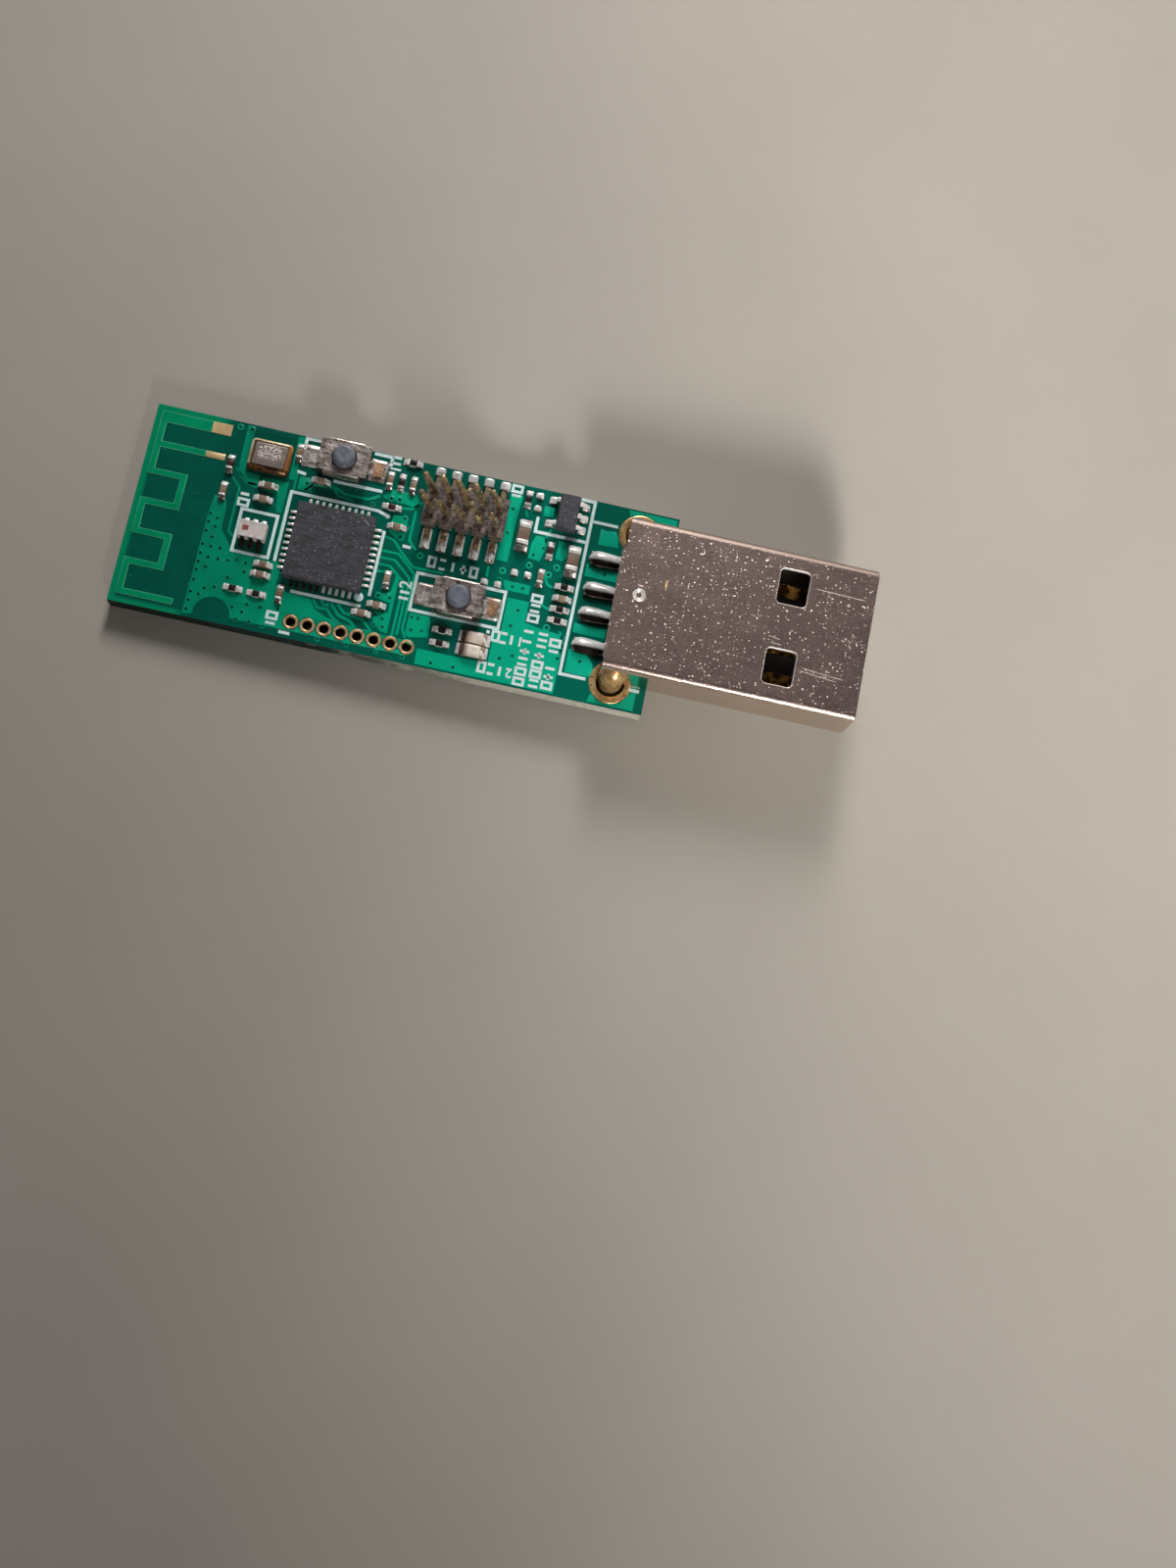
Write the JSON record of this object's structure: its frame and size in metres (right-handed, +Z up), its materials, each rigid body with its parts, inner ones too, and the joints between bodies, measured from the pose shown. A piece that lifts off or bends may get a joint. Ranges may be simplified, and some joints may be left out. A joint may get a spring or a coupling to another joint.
{
  "type": "smart home usb radio stick",
  "caption": "Bare circuit-board radio stick with a printed antenna, a radio chip, push switches, a pin header and a folded steel computer plug.",
  "frame": {"origin": "middle of the plug's open mouth, on its front face", "axes": "+X along the board and out of the plug's mouth, the way the plug goes into a socket; +Z up out of the board's component side; +Y across the board, towards the switch near the edge"},
  "size_m": [0.0564, 0.016, 0.0071],
  "materials": {
    "solder_mask": "glossy green solder mask over fibreglass",
    "masked_copper": "copper under green solder mask",
    "gilded_pad": "thin gold plating, tarnished",
    "plated_copper": "bare copper, dull",
    "plug_nickel": "nickel-plated steel, satin and scuffed",
    "black_plastic": "moulded thermoplastic, fine grain",
    "contact_gold": "gold-plated spring contact",
    "solder": "bright solder",
    "tinned_lead": "tinned",
    "chip_epoxy": "moulded epoxy, slightly scuffed",
    "dark_ceramic": "fired ceramic",
    "white_ceramic": "white alumina",
    "lid_metal": "satin plated lid",
    "resistor_black": "printed glaze",
    "capacitor_tan": "tan fired ceramic",
    "inductor_maroon": "dark fired ferrite",
    "brown_plastic": "dark high-temperature plastic",
    "tarnished_pin": "tarnished gold plating",
    "switch_plastic": "dark moulded plastic",
    "button_grey": "blue-grey moulded plastic",
    "spring_steel": "stainless sheet, satin",
    "lamp_base": "thin laminate base",
    "lamp_lens": "cast clear resin, cream in the light"
  },
  "bodies": {
    "stick": {"antenna_pads": "gilded_pad", "antenna_trace": "masked_copper", "balun_body": "white_ceramic", "balun_terminals": "tinned_lead", "bulk_capacitor_bodies": "capacitor_tan", "bulk_capacitor_ends": "tinned_lead", "capacitor_bodies": "capacitor_tan", "capacitor_ends": "tinned_lead", "circuit_board": "solder_mask", "crystal_base": "dark_ceramic", "crystal_lid": "lid_metal", "crystal_rim": "gilded_pad", "header_body": "brown_plastic", "header_pins": "tarnished_pin", "header_solder": "solder", "inductor_bodies": "inductor_maroon", "inductor_ends": "tinned_lead", "io_hole_eyelets": "plated_copper", "led_bases": "lamp_base", "led_ends": "tinned_lead", "led_lenses": "lamp_lens", "leg_hole_eyelets": "gilded_pad", "open_pad_solder": "solder", "plug_contact_1": "contact_gold", "plug_contact_2": "contact_gold", "plug_contact_3": "contact_gold", "plug_contact_4": "contact_gold", "plug_leg_solder": "solder", "plug_tail_solder": "solder", "radio_chip_body": "chip_epoxy", "radio_chip_lands": "tinned_lead", "radio_chip_solder": "solder", "regulator_body": "chip_epoxy", "regulator_leads": "tinned_lead", "resistor_coats": "resistor_black", "resistor_cores": "white_ceramic", "resistor_ends": "tinned_lead", "small_part_solder": "solder", "switch_1_cover": "spring_steel", "switch_1_dome": "spring_steel", "switch_1_terminals": "tinned_lead", "switch_1_tray": "switch_plastic", "switch_2_cover": "spring_steel", "switch_2_dome": "spring_steel", "switch_2_terminals": "tinned_lead", "switch_2_tray": "switch_plastic", "usb_insulator": "black_plastic", "usb_shell": "plug_nickel"},
    "button_1": {"switch_1_button": "button_grey"},
    "button_2": {"switch_2_button": "button_grey"}
  },
  "joints": [
    {"name": "button_1_press", "type": "slide", "parent": "stick", "child": "button_1", "axis": [0, 0, -1], "range_m": [0, 0.00025], "stiffness_N_per_m": 6000, "deforming": ["switch_1_dome"]},
    {"name": "button_2_press", "type": "slide", "parent": "stick", "child": "button_2", "axis": [0, 0, -1], "range_m": [0, 0.00025], "stiffness_N_per_m": 6000, "deforming": ["switch_2_dome"]}
  ]
}
